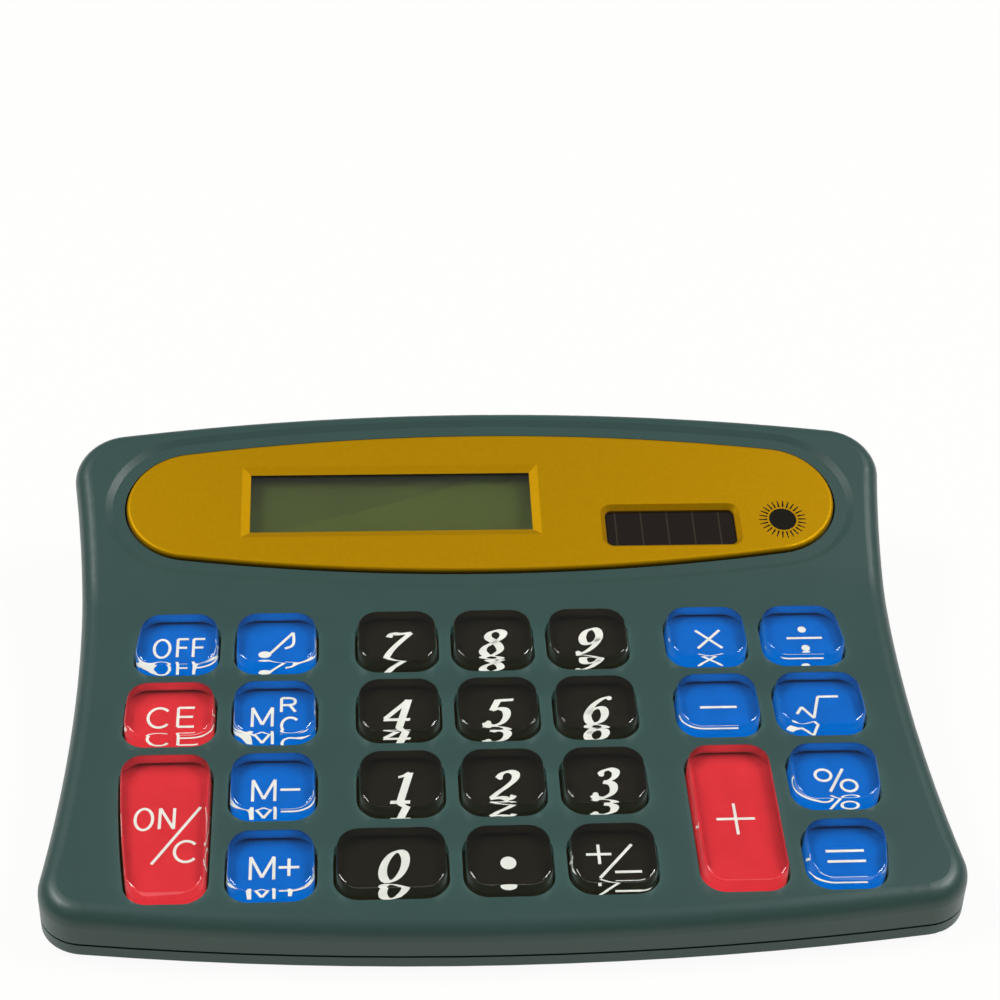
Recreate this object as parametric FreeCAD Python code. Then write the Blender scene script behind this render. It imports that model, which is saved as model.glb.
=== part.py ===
import FreeCAD, Part
import math
import os
from FreeCAD import Placement, Rotation, Vector

# Desk calculator. Millimetres, X to the right, Y to the back, Z up, origin at the bottom centre.

# Case outline in plan
front_margin = 14.55
side_margin = 10.3
crease_margin = 15.3
waist_step = 60.4
side_radius = 365.0
front_radius = 590.0
back_radius = 560.0
front_corner_radius = 9.0
back_corner_radius = 11.0

# Case profile
foot_height = 1.0
seam_height = 4.0
deck_front_height = 10.6
deck_tilt = 6.0
display_tilt = 15.0
crease_radius = 60.0
shoulder_radius = 3.6

# Shells
wall = 2.0
floor = 1.6
seam_gap = 0.45
tray_edge_radius = 0.5
lip_thickness = 1.0
lip_rise = 1.8
fit_clearance = 0.15
rib_thickness = 1.2
rib_clearance = 0.3

# Keys, in the deck plane
row_pitch = 18.62
digit_pitch = 19.0
block_gap = 23.8
outer_pitch = 19.5
key_width = 15.7
key_height = 14.1
zero_extra_width = 4.3
outer_key_inner_reach = 8.0
outer_key_outer_reach = 9.0
barrel_radius = 230.0
barrel_shift = 3.93
key_corner_radius = 4.2
key_rise = 2.9
key_taper = 0.22
key_edge_radius = 0.55
key_skirt = 0.4
key_clearance = 0.5
key_flange_reach = 1.3
key_flange_thickness = 0.9
key_travel = 1.4

# Keypad and board
dome_gap = 0.05
dome_crown = 0.9
dome_top_diameter = 7.0
dome_base_diameter = 9.6
dome_wall = 0.9
pill_diameter = 4.2
pill_thickness = 0.4
contact_margin = 0.1
web_thickness = 0.8
web_margin = 1.8
web_corner_radius = 5.0
board_thickness = 1.2
board_side_margin = 3.1
board_front_margin = 0.5
board_back_strip = 6.0
board_corner_radius = 6.0

# Display panel, in the display plane: t runs up the slope from the crease
panel_side_margin = 7.0
panel_front_margin = 5.03
panel_back_margin = 8.96
panel_half_height = 18.37
panel_end_radius = 14.0
panel_rise = 0.2
panel_edge_radius = 0.8
dish_depth = 1.3
dish_reach = 4.4
dish_floor_margin = 1.5
dish_floor_thickness = 1.8
lcd_view_width = 59.0
lcd_view_height = 15.4
lcd_view_x = -19.4
lcd_view_step = 0.35
lcd_bevel = 1.8
window_thickness = 0.8
window_margin = 2.0
lcd_side_margin = 3.5
lcd_edge_margin = 4.3
lcd_glass = 1.4
lcd_ledge = 2.5
solar_view_width = 27.5
solar_view_height = 9.3
solar_view_x = 39.25
solar_view_drop = 7.1
solar_view_radius = 1.4
solar_bevel = 1.0
solar_side_margin = 1.25
solar_edge_margin = 1.35
solar_thickness = 1.2
cell_clearance = 0.3

# Ribbon, wires and small parts on the board
ribbon_width = 44.0
ribbon_thickness = 0.2
ribbon_bond = 3.5
ribbon_bend_radius = 1.2
wire_diameter = 1.2
wire_rise = 4.0
solar_wire_step = 8.25
buzzer_wire_step = 2.0
first_pad_x = 22.0
pad_pitch = 6.0
blob_diameter = 13.0
blob_rise = 1.8
blob_x = -10.0
blob_v = -28.0
can_diameter = 5.0
can_height = 5.0
can_edge_radius = 0.5
can_x = (40.0, 48.0)
can_v = 4.0
resistor_diameter = 1.9
resistor_waist = 1.5
resistor_length = 5.0
resistor_x = (-46.0, -36.0, -26.0)
resistor_v = 9.0
buzzer_diameter = 20.0
buzzer_plate = 0.3
ceramic_diameter = 14.0
ceramic_thickness = 0.3
buzzer_side_gap = 9.5
buzzer_step = 15.8
buzzer_seat = 0.8
sound_hole_diameter = 1.6
sound_hole_circle = 5.0

# Battery, bay and door
battery_diameter = 14.5
battery_length = 50.5
battery_back_margin = 16.8
nub_diameter = 5.5
nub_length = 1.4
contact_room = 2.75
bay_wall = 1.5
bay_roof_thickness = 1.2
bay_clearance = 0.55
door_flange_reach = 1.25
door_flange_thickness = 0.8
door_clearance = 0.25
rail_width = 1.5
rail_height = 1.2
grip_count = 4
grip_pitch = 2.0
grip_width = 0.8
grip_depth = 0.5
grip_length = 20.0
contact_thickness = 0.4
contact_width = 8.0
contact_bend_radius = 0.6
contact_tab = 3.0

# Fasteners and feet
case_screw_diameter = 2.6
case_screw_length = 5.6
case_head_diameter = 4.6
case_head_thickness = 1.4
case_boss_diameter = 6.0
case_post_diameter = 7.2
case_screw_seat = 2.0
case_pilot_depth = 4.2
case_screw_steps = (5.5, 4.2, 7.5)
case_post_tops = (4.5, 8.0, 12.0)
front_screw_step = 2.05
head_clearance = 0.3
board_screw_diameter = 1.8
board_screw_length = 4.0
board_head_diameter = 3.6
board_head_thickness = 1.1
board_boss_diameter = 4.2
board_pilot_depth = 3.2
board_hole_clearance = 0.5
screw_play = 0.15
foot_diameter = 9.0
foot_pocket = 0.5
foot_edge_radius = 0.4
foot_steps = (7.0, 5.0)
foot_margin = 13.1

# Keys by row, from the display to the front; a name in two rows is one tall key
key_rows = (
    ("key_off", "key_sound", "key_7", "key_8", "key_9", "key_times", "key_divide"),
    ("key_clear_entry", "key_memory_recall", "key_4", "key_5", "key_6", "key_minus", "key_root"),
    ("key_on_clear", "key_memory_minus", "key_1", "key_2", "key_3", "key_plus", "key_percent"),
    ("key_on_clear", "key_memory_plus", "key_0", "key_point", "key_sign", "key_plus", "key_equals"),
)
key_names = list(dict.fromkeys(name for row in key_rows for name in row))

# Worked out from the sizes above
block_x = digit_pitch + block_gap
outer_x = block_x + outer_pitch
column_x = (-outer_x, -block_x, -digit_pitch, 0.0, digit_pitch, block_x, outer_x)
gap_x = digit_pitch + block_gap / 2
last_row_v = -(len(key_rows) - 1) * row_pitch
barrel_reach = outer_x + outer_key_outer_reach
barrel_middle_v = last_row_v / 2 + barrel_shift

waist_half_width = barrel_reach + side_margin
panel_half_width = waist_half_width - panel_side_margin
panel_middle_t = panel_front_margin + panel_half_height
keys_depth = -last_row_v * math.cos(math.radians(deck_tilt))
display_length = panel_middle_t + panel_half_height + panel_back_margin
display_depth = display_length * math.cos(math.radians(display_tilt))
case_depth = front_margin + keys_depth + crease_margin + display_depth
front_y = -case_depth / 2
back_y = case_depth / 2
waist_y = front_y + waist_step
last_row_y = front_y + front_margin
row_1_y = last_row_y + keys_depth
crease_y = row_1_y + crease_margin
tan_deck = math.tan(math.radians(deck_tilt))
row_1_z = deck_front_height + (row_1_y - front_y) * tan_deck
crease_z = deck_front_height + (crease_y - front_y) * tan_deck
deck_frame = Placement(Vector(0, row_1_y, row_1_z), Rotation(Vector(1, 0, 0), deck_tilt))
display_frame = Placement(Vector(0, crease_y, crease_z), Rotation(Vector(1, 0, 0), display_tilt))
tall = 4 * case_depth

flange_top = -wall - fit_clearance
flange_bottom = flange_top - key_flange_thickness
dome_top = flange_bottom - dome_gap
pill_top = dome_top - dome_crown
pill_bottom = pill_top - pill_thickness
board_top = pill_bottom - key_travel - contact_margin
board_bottom = board_top - board_thickness
web_top = board_top + web_thickness
web_half_width = outer_x + dome_base_diameter / 2 + web_margin
web_back_v = dome_base_diameter / 2 + web_margin
web_front_v = last_row_v - web_back_v
board_half_width = web_half_width + board_side_margin
board_back_v = key_height / 2 + key_flange_reach + board_back_strip
board_front_v = web_front_v - board_front_margin
side_screw_v = board_back_v - board_back_strip / 2
pad_v = side_screw_v

panel_end_x = panel_half_width - panel_end_radius
panel_radius = (panel_end_x ** 2 + panel_half_height ** 2 - panel_end_radius ** 2) / (
    2 * (panel_half_height - panel_end_radius))
lcd_view_t = panel_middle_t + lcd_view_step
lcd_width = lcd_view_width + 2 * lcd_side_margin
lcd_height = lcd_view_height + 2 * lcd_edge_margin
solar_view_t = panel_middle_t - solar_view_drop
solar_width = solar_view_width + 2 * solar_side_margin
solar_height = solar_view_height + 2 * solar_edge_margin
dish_floor = -dish_depth
dish_underside = dish_floor - dish_floor_thickness
window_top = dish_floor + window_thickness
lcd_bottom = dish_floor - 2 * lcd_glass
lcd_front_t = lcd_view_t - lcd_height / 2

floor_bottom = foot_height
floor_top = foot_height + floor
tray_top = seam_height - seam_gap
lip_top = seam_height + lip_rise
lip_outer = wall + fit_clearance
lip_inner = lip_outer + lip_thickness
door_flange_bottom = floor_top + fit_clearance
door_top = door_flange_bottom + door_flange_thickness
battery_y = back_y - battery_back_margin
battery_z = door_top + bay_clearance + battery_diameter / 2
bay_half_length = battery_length / 2 + contact_room
bay_front = battery_y - battery_diameter / 2 - bay_clearance
bay_back = battery_y + battery_diameter / 2 + bay_clearance
bay_roof = battery_z + battery_diameter / 2 + bay_clearance
buzzer_rim = buzzer_diameter + 2 * (cell_clearance + rib_thickness)
buzzer_x = bay_half_length + bay_wall + rail_width + buzzer_side_gap + buzzer_rim / 2
buzzer_y = battery_y - buzzer_step

case_screw_y = (last_row_y + front_screw_step, row_1_y, battery_y)
case_screw_places = [(board_half_width + step, y, top)
                     for step, y, top in zip(case_screw_steps, case_screw_y, case_post_tops)]
foot_y = (front_y + foot_margin, back_y - foot_margin)
foot_places = [(board_half_width - step, y) for step, y in zip(foot_steps, foot_y)]


def unit(vector):
    """The vector at length 1."""
    return Vector(vector) * (1 / vector.Length)


def circles_meet(centre_a, radius_a, centre_b, radius_b, left):
    """Where two circles in one plane cross, left or right of the way from a to b."""
    way = unit(centre_b - centre_a)
    span = (centre_b - centre_a).Length
    along = (span ** 2 + radius_a ** 2 - radius_b ** 2) / (2 * span)
    across = math.sqrt(radius_a ** 2 - along ** 2)
    side = Vector(-way.y, way.x, 0) if left else Vector(way.y, -way.x, 0)
    return centre_a + way * along + side * across


def arc(start, middle, end):
    return Part.Arc(start, middle, end).toShape()


def corner_arc(centre, radius, start, end):
    """Arc of a rounded corner from start to end."""
    middle = centre + unit(unit(start - centre) + unit(end - centre)) * radius
    return arc(start, middle, end)


def mirrored(point):
    return Vector(-point.x, point.y, point.z)


def prism(wire, height):
    return Part.Face(wire).extrude(Vector(0, 0, height))


def box(x0, x1, y0, y1, z0, z1):
    return Part.makeBox(x1 - x0, y1 - y0, z1 - z0, Vector(x0, y0, z0))


def cylinder(diameter, x, y, z0, z1):
    return Part.makeCylinder(diameter / 2, z1 - z0, Vector(x, y, z0))


def placed(shape, frame):
    """The shape moved from a plane's own axes to the calculator's axes."""
    moved = shape.copy()
    moved.Placement = frame
    return moved


def rounded_rectangle(x0, x1, y0, y1, radius, z):
    """Closed outline of a rectangle with round corners."""
    corners = ((x1, y1, 1, 1), (x0, y1, -1, 1), (x0, y0, -1, -1), (x1, y0, 1, -1))
    arcs = []
    for index, (x, y, sx, sy) in enumerate(corners):
        centre = Vector(x - sx * radius, y - sy * radius, z)
        ends = [centre + Vector(sx * radius, 0, 0), centre + Vector(0, sy * radius, 0)]
        if index % 2:
            ends.reverse()
        arcs.append((centre, ends))
    edges = []
    for index, (centre, ends) in enumerate(arcs):
        following = arcs[(index + 1) % 4][1][0]
        edges.append(corner_arc(centre, radius, ends[0], ends[1]))
        edges.append(Part.makeLine(ends[1], following))
    return Part.Wire(edges)


def rectangle(width, height, x, y, z):
    """Closed outline of a plain rectangle about its middle."""
    points = [Vector(x + sx * width / 2, y + sy * height / 2, z)
              for sx, sy in ((-1, -1), (1, -1), (1, 1), (-1, 1), (-1, -1))]
    return Part.makePolygon(points)


def case_outline(inset, z):
    """Waisted outline of the case, moved inward by inset: eight tangent arcs."""
    side = Vector(waist_half_width + side_radius, waist_y, 0)
    back = Vector(0, case_depth / 2 - back_radius, 0)
    front = Vector(0, front_radius - case_depth / 2, 0)
    back_corner = circles_meet(side, side_radius + back_corner_radius,
                               back, back_radius - back_corner_radius, False)
    front_corner = circles_meet(side, side_radius + front_corner_radius,
                                front, front_radius - front_corner_radius, True)
    lift = Vector(0, 0, z)
    on_back = back + unit(back_corner - back) * (back_radius - inset) + lift
    on_side_back = side + unit(back_corner - side) * (side_radius + inset) + lift
    on_side_front = side + unit(front_corner - side) * (side_radius + inset) + lift
    on_front = front + unit(front_corner - front) * (front_radius - inset) + lift
    waist = Vector(waist_half_width - inset, waist_y, z)
    back_corner = back_corner + lift
    front_corner = front_corner + lift
    back_round = back_corner_radius - inset
    front_round = front_corner_radius - inset
    edges = [
        arc(mirrored(on_back), Vector(0, case_depth / 2 - inset, z), on_back),
        corner_arc(back_corner, back_round, on_back, on_side_back),
        arc(on_side_back, waist, on_side_front),
        corner_arc(front_corner, front_round, on_side_front, on_front),
        arc(on_front, Vector(0, inset - case_depth / 2, z), mirrored(on_front)),
        corner_arc(mirrored(front_corner), front_round, mirrored(on_front), mirrored(on_side_front)),
        arc(mirrored(on_side_front), mirrored(waist), mirrored(on_side_back)),
        corner_arc(mirrored(back_corner), back_round, mirrored(on_side_back), mirrored(on_back)),
    ]
    return Part.Wire(edges)


def slope(degrees):
    """Unit vectors along and square to a slope in the YZ plane."""
    angle = math.radians(degrees)
    return Vector(0, math.cos(angle), math.sin(angle)), Vector(0, -math.sin(angle), math.cos(angle))


def below_top(drop):
    """Everything under the top surface (deck, hollow bend, display slope) lowered by drop."""
    deck_way, deck_up = slope(deck_tilt)
    display_way, display_up = slope(display_tilt)
    middle_up = slope((deck_tilt + display_tilt) / 2)[1]
    crease = Vector(-tall / 2, crease_y, crease_z)
    tangent = crease_radius * math.tan(math.radians((display_tilt - deck_tilt) / 2))
    bend_start = crease - deck_way * tangent - deck_up * drop
    bend_end = crease + display_way * tangent - display_up * drop
    centre = crease - deck_way * tangent + deck_up * crease_radius
    bend_middle = centre - middle_up * (crease_radius + drop)
    front_end = bend_start - deck_way * case_depth
    back_end = bend_end + display_way * case_depth
    front_foot = Vector(-tall / 2, front_end.y, -case_depth)
    back_foot = Vector(-tall / 2, back_end.y, -case_depth)
    profile = Part.Wire([
        Part.makeLine(front_foot, front_end), Part.makeLine(front_end, bend_start),
        arc(bend_start, bend_middle, bend_end), Part.makeLine(bend_end, back_end),
        Part.makeLine(back_end, back_foot), Part.makeLine(back_foot, front_foot)])
    return Part.Face(profile).extrude(Vector(tall, 0, 0))


def rounded_body(inset, drop, base_z, radius):
    """Case body above base_z with its top edge rounded all round."""
    column = prism(case_outline(inset, base_z), case_depth)
    body = column.common(below_top(drop)).Solids[0]
    rim = []
    for edge in body.Edges:
        ends = [vertex.Point.z for vertex in edge.Vertexes]
        upright = edge.BoundBox.XLength < 1e-3 and edge.BoundBox.YLength < 1e-3
        across = isinstance(edge.Curve, Part.Line)
        if min(ends) > base_z + 1e-3 and not upright and not across:
            rim.append(edge)
    return body.makeFillet(radius, rim)


def panel_outline(offset, w):
    """Long outline of the display panel, moved outward by offset: two flat and two end arcs."""
    high = panel_half_height + offset
    end = panel_end_radius + offset
    middle = Vector(0, panel_middle_t, w)
    end_centre = Vector(panel_end_x, panel_middle_t, w)
    upper = Vector(0, panel_middle_t + panel_half_height - panel_radius, w)
    touch = upper + unit(end_centre - upper) * (panel_radius + offset)
    low_touch = Vector(touch.x, 2 * panel_middle_t - touch.y, w)
    tip = end_centre + Vector(end, 0, 0)
    return Part.Wire([
        arc(mirrored(touch), middle + Vector(0, high, 0), touch),
        arc(touch, tip, low_touch),
        arc(low_touch, middle - Vector(0, high, 0), mirrored(low_touch)),
        arc(mirrored(low_touch), mirrored(tip), mirrored(touch)),
    ])


def key_sides(name):
    """Side sign, inner and outer side (None for the barrel arc), front and back of a key."""
    rows = [row for row, names in enumerate(key_rows) if name in names]
    x = column_x[key_rows[rows[0]].index(name)]
    back = -rows[0] * row_pitch + key_height / 2
    front = -rows[-1] * row_pitch - key_height / 2
    if abs(x) == outer_x:
        return math.copysign(1, x), outer_x - outer_key_inner_reach, None, front, back
    inner = x - key_width / 2
    outer = x + key_width / 2
    if name == "key_0":
        inner -= zero_extra_width
    return 1, inner, outer, front, back


def key_outline(name, inset, w):
    """Outline of a key in the deck plane, moved inward by inset."""
    sign, inner, outer, front, back = key_sides(name)
    radius = key_corner_radius - inset
    inner_x = inner + key_corner_radius
    back_v = back - key_corner_radius
    front_v = front + key_corner_radius

    def outer_corner(v):
        if outer is not None:
            return outer - key_corner_radius, Vector(1, 0, 0)
        barrel_x = barrel_reach - barrel_radius
        rise = v - barrel_middle_v
        x = barrel_x + math.sqrt((barrel_radius - key_corner_radius) ** 2 - rise ** 2)
        return x, unit(Vector(x - barrel_x, rise, 0))

    back_x, back_way = outer_corner(back_v)
    front_x, front_way = outer_corner(front_v)
    inner_back = Vector(inner_x, back_v, w)
    inner_front = Vector(inner_x, front_v, w)
    outer_back = Vector(back_x, back_v, w)
    outer_front = Vector(front_x, front_v, w)
    up = Vector(0, radius, 0)
    left = Vector(-radius, 0, 0)
    points = [inner_back + left, inner_back + up, outer_back + up, outer_back + back_way * radius,
              outer_front + front_way * radius, outer_front - up, inner_front - up, inner_front + left]
    centres = [inner_back, outer_back, outer_front, inner_front]
    flip = mirrored if sign < 0 else Vector
    points = [flip(point) for point in points]
    centres = [flip(centre) for centre in centres]
    edges = []
    for index in range(4):
        start, end = points[2 * index], points[2 * index + 1]
        following = points[(2 * index + 2) % 8]
        edges.append(corner_arc(centres[index], radius, start, end))
        if index == 1 and outer is None:
            way = unit(back_way + front_way)
            hub = Vector(barrel_reach - barrel_radius, barrel_middle_v, w)
            edges.append(arc(end, flip(hub + way * (barrel_radius - inset)), following))
        else:
            edges.append(Part.makeLine(end, following))
    return Part.Wire(edges)


def key_cap(name):
    """Clear key: flange under the deck, straight shank, tapered cap with a rounded top edge."""
    cap = Part.makeLoft([key_outline(name, 0, key_skirt), key_outline(name, key_taper, key_rise)],
                        True, True)
    top = [edge for edge in cap.Edges
           if min(vertex.Point.z for vertex in edge.Vertexes) > key_rise - 1e-3]
    cap = cap.makeFillet(key_edge_radius, top)
    shank = prism(key_outline(name, 0, flange_bottom), key_skirt - flange_bottom)
    flange = prism(key_outline(name, -key_flange_reach, flange_bottom), key_flange_thickness)
    return placed(shank.fuse([cap, flange]).removeSplitter(), deck_frame)


def dome_places():
    """Middle of each keypad dome in the deck plane: one for each key in each row."""
    return [(x, -row * row_pitch) for row in range(len(key_rows)) for x in column_x]


def board_screw_places():
    """Board screws: four between the key blocks, two on the back strip."""
    places = [(side * gap_x, -row * row_pitch) for side in (-1, 1) for row in (0, 2)]
    return places + [(side * outer_x, side_screw_v) for side in (-1, 1)]


def both_sides(places):
    return [(side * place[0], *place[1:]) for place in places for side in (-1, 1)]


def display_dish():
    """Tool for the shallow hollow round the panel: a sloping side from its rim down to a flat floor."""
    lower = Part.makeLoft([panel_outline(dish_reach, 0), panel_outline(dish_floor_margin, dish_floor)],
                          True, True)
    upper = prism(panel_outline(dish_reach, 0), case_depth)
    return upper.fuse(lower)


def display_openings():
    """Openings in the dish floor for the display and the solar cell."""
    gap = 2 * cell_clearance
    depth = 3 * (dish_depth + dish_floor_thickness)
    lcd = prism(rectangle(lcd_width + gap, lcd_height + gap, lcd_view_x, lcd_view_t, -depth), depth)
    solar = prism(rectangle(solar_width + gap, solar_height + gap, solar_view_x, solar_view_t, -depth), depth)
    return [placed(lcd, display_frame), placed(solar, display_frame)]


def display_frame_rib():
    """Rib under the dish floor round three sides of the display."""
    low = lcd_bottom + fit_clearance
    height = dish_underside - low
    gap = 2 * cell_clearance
    outer = prism(rectangle(lcd_width + gap + 2 * rib_thickness, lcd_height + gap + 2 * rib_thickness,
                            lcd_view_x, lcd_view_t, low), height)
    inner = prism(rectangle(lcd_width + gap, lcd_height + gap, lcd_view_x, lcd_view_t, low), height)
    open_front = box(-lcd_width, lcd_width, lcd_front_t - lcd_height, lcd_front_t + lcd_ledge, low,
                     low + height)
    return placed(outer.cut([inner, open_front]), display_frame)


def deck_ribs():
    """Stiffening ribs under the deck, along the gaps between the key blocks and rows."""
    low = web_top + rib_clearance
    reach = -wall / 2 - low
    half = rib_thickness / 2
    ribs = []
    for side in (-1, 1):
        x = side * gap_x
        ribs.append(box(x - half, x + half, -2 * row_pitch, key_height / 2, low, low + reach))
    for row in (0, 1):
        v = -(row + 0.5) * row_pitch
        ribs.append(box(-barrel_reach, barrel_reach, v - half, v + half, low, low + reach))
    return [placed(rib, deck_frame) for rib in ribs]


def upper_case():
    """Deck and display shell with key openings, dish, bosses and ribs."""
    body = rounded_body(0, 0, seam_height, shoulder_radius)
    cavity = rounded_body(wall, wall, seam_height - wall, shoulder_radius - wall)
    pad = prism(panel_outline(dish_reach, dish_underside), dish_floor_thickness + dish_depth - wall / 2)
    solids = [placed(pad, display_frame), display_frame_rib()] + deck_ribs()
    inside = below_top(wall / 2)
    for x, y, post_top in both_sides(case_screw_places):
        solids.append(cylinder(case_boss_diameter, x, y, post_top, case_depth).common(inside))
    for x, v in board_screw_places():
        boss = cylinder(board_boss_diameter, x, v, board_top, case_depth)
        solids.append(placed(boss, deck_frame).common(inside))
    shell = body.cut(cavity).fuse(solids)
    cuts = [placed(display_dish(), display_frame)] + display_openings()
    for name in key_names:
        hole = prism(key_outline(name, -key_clearance, -2 * wall), 4 * wall)
        cuts.append(placed(hole, deck_frame))
    for x, y, post_top in both_sides(case_screw_places):
        cuts.append(cylinder(case_screw_diameter + 2 * screw_play, x, y, post_top, post_top + case_pilot_depth))
    for x, v in board_screw_places():
        pilot = cylinder(board_screw_diameter + 2 * screw_play, x, v, board_top, board_top + board_pilot_depth)
        cuts.append(placed(pilot, deck_frame))
    return shell.cut(cuts).removeSplitter()


def tray_body():
    """Outside of the lower case: a shallow tray with a rounded bottom edge."""
    body = prism(case_outline(0, floor_bottom), tray_top - floor_bottom)
    low = [edge for edge in body.Edges
           if max(vertex.Point.z for vertex in edge.Vertexes) < floor_bottom + 1e-3]
    return body.makeFillet(tray_edge_radius, low)


def battery_bay():
    """Closed box over the battery, open below, on two door rails."""
    ends = bay_half_length + bay_wall
    shell = box(-ends, ends, bay_front - bay_wall, bay_back + bay_wall, floor_top,
                bay_roof + bay_roof_thickness)
    rail = ends + rail_width
    rails = box(-rail, rail, bay_front - bay_wall, bay_back + bay_wall, floor_top,
                door_top + fit_clearance + rail_height)
    return [shell, rails]


def battery_space():
    """What the bay leaves free: the cell's room, the door's way out and the contact slots."""
    room = box(-bay_half_length, bay_half_length, bay_front, bay_back, floor_bottom, bay_roof)
    way = box(-bay_half_length, bay_half_length, bay_front, case_depth, 0, door_top + fit_clearance)
    groove = bay_half_length + door_flange_reach + fit_clearance
    grooves = box(-groove, groove, bay_front, case_depth, floor_top, door_top + fit_clearance)
    lip_notch = box(-groove, groove, bay_back + bay_wall, case_depth, floor_top, 2 * lip_top)
    slots = []
    half_slot = contact_width / 2 + fit_clearance
    slot_z = contact_tab_z()
    half_thick = contact_thickness / 2 + fit_clearance
    for side in (-1, 1):
        x = side * (bay_half_length + bay_wall / 2)
        slots.append(box(x - bay_wall, x + bay_wall, battery_y - half_slot, battery_y + half_slot,
                         slot_z - half_thick, slot_z + half_thick))
    return [room, way, grooves, lip_notch] + slots


def buzzer_seat_rings():
    """Ring on the floor that carries the buzzer disc and the rim round it."""
    seat_top = floor_top + buzzer_seat
    rim_top = seat_top + buzzer_plate + ceramic_thickness
    ring = cylinder(buzzer_rim, buzzer_x, buzzer_y, floor_top, rim_top)
    pocket = cylinder(buzzer_diameter + 2 * cell_clearance, buzzer_x, buzzer_y, seat_top, rim_top)
    bore = cylinder(ceramic_diameter, buzzer_x, buzzer_y, floor_top, seat_top)
    return ring.cut([pocket, bore])


def sound_holes():
    holes = [(0.0, 0.0)]
    for index in range(6):
        angle = math.radians(60 * index)
        holes.append((sound_hole_circle * math.cos(angle), sound_hole_circle * math.sin(angle)))
    return [cylinder(sound_hole_diameter, buzzer_x + x, buzzer_y + y, 0, floor_top) for x, y in holes]


def floor_ribs():
    """Cross ribs on the floor under the board, and two that carry its front edge."""
    half = rib_thickness / 2
    reach = waist_half_width - 4 * lip_inner
    under_board = placed(box(-tall, tall, -tall, tall, -tall, board_bottom - fit_clearance), deck_frame)
    ribs = []
    for row in (0, 1, 2):
        y = row_1_y - (row + 0.5) * row_pitch
        ribs.append(box(-reach, reach, y - half, y + half, floor_top, floor_top + rail_height + floor))
    for side in (-1, 1):
        x = side * gap_x
        ribs.append(box(x - half, x + half, last_row_y - key_height / 2, last_row_y, floor_top, case_depth))
    return [rib.common(under_board) for rib in ribs]


def lower_case():
    """Tray with a lip inside the upper case, screw posts, battery bay, buzzer ring and ribs."""
    cavity = prism(case_outline(lip_inner, floor_top), case_depth)
    lip = prism(case_outline(lip_outer, floor_top), lip_top - floor_top)
    solids = [lip.cut(cavity)]
    for x, y, post_top in both_sides(case_screw_places):
        solids.append(cylinder(case_post_diameter, x, y, floor_bottom, post_top).common(
            prism(case_outline(lip_outer, floor_bottom), case_depth)))
    solids += battery_bay() + [buzzer_seat_rings()] + floor_ribs()
    tray = tray_body().cut(cavity).fuse(solids)
    cuts = battery_space() + sound_holes()
    for x, y, post_top in both_sides(case_screw_places):
        seat = post_top - case_screw_seat
        cuts.append(cylinder(case_head_diameter + 2 * head_clearance, x, y, 0, seat))
        cuts.append(cylinder(case_screw_diameter + 2 * screw_play, x, y, 0, post_top))
    for x, y in both_sides(foot_places):
        cuts.append(cylinder(foot_diameter + 2 * screw_play, x, y, 0, floor_bottom + foot_pocket))
    return tray.cut(cuts).removeSplitter()


def display_panel():
    """Panel with a rounded rim, a mitred bevel round the display and a bevelled solar window."""
    plate = prism(panel_outline(0, dish_floor), panel_rise - dish_floor)
    rim = [edge for edge in plate.Edges
           if min(vertex.Point.z for vertex in edge.Vertexes) > panel_rise - 1e-3]
    plate = plate.makeFillet(panel_edge_radius, rim)
    lcd_bevelled = Part.makeLoft([
        rectangle(lcd_view_width, lcd_view_height, lcd_view_x, lcd_view_t, window_top),
        rectangle(lcd_view_width + 2 * lcd_bevel, lcd_view_height + 2 * lcd_bevel,
                  lcd_view_x, lcd_view_t, panel_rise)], True, True)
    rebate = prism(rectangle(lcd_view_width + 2 * window_margin, lcd_view_height + 2 * window_margin,
                             lcd_view_x, lcd_view_t, dish_floor), window_thickness)
    half_x, half_t = solar_view_width / 2, solar_view_height / 2
    bevel_foot = panel_rise - solar_bevel
    solar_hole = prism(rounded_rectangle(solar_view_x - half_x, solar_view_x + half_x, solar_view_t - half_t,
                                         solar_view_t + half_t, solar_view_radius, dish_floor),
                       bevel_foot - dish_floor)
    wide_x, wide_t = half_x + solar_bevel, half_t + solar_bevel
    solar_bevelled = Part.makeLoft([
        rounded_rectangle(solar_view_x - half_x, solar_view_x + half_x, solar_view_t - half_t,
                          solar_view_t + half_t, solar_view_radius, bevel_foot),
        rounded_rectangle(solar_view_x - wide_x, solar_view_x + wide_x, solar_view_t - wide_t,
                          solar_view_t + wide_t, solar_view_radius + solar_bevel, panel_rise)], True, True)
    return placed(plate.cut([lcd_bevelled, rebate, solar_hole, solar_bevelled]), display_frame)


def display_window():
    """Clear sheet glued into the rebate behind the panel."""
    sheet = prism(rectangle(lcd_view_width + 2 * (window_margin - fit_clearance),
                            lcd_view_height + 2 * (window_margin - fit_clearance),
                            lcd_view_x, lcd_view_t, dish_floor), window_thickness)
    return placed(sheet, display_frame)


def lcd_cell():
    """Two glass sheets: the front one reaches past the rear one for the ribbon's bond."""
    front = prism(rectangle(lcd_width, lcd_height, lcd_view_x, lcd_view_t, dish_floor - lcd_glass), lcd_glass)
    rear = prism(rectangle(lcd_width, lcd_height - lcd_ledge, lcd_view_x, lcd_view_t + lcd_ledge / 2,
                           lcd_bottom), lcd_glass)
    return placed(front.fuse(rear), display_frame)


def solar_cell():
    plate = prism(rectangle(solar_width, solar_height, solar_view_x, solar_view_t,
                            dish_floor - solar_thickness), solar_thickness)
    return placed(plate, display_frame)


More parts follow.
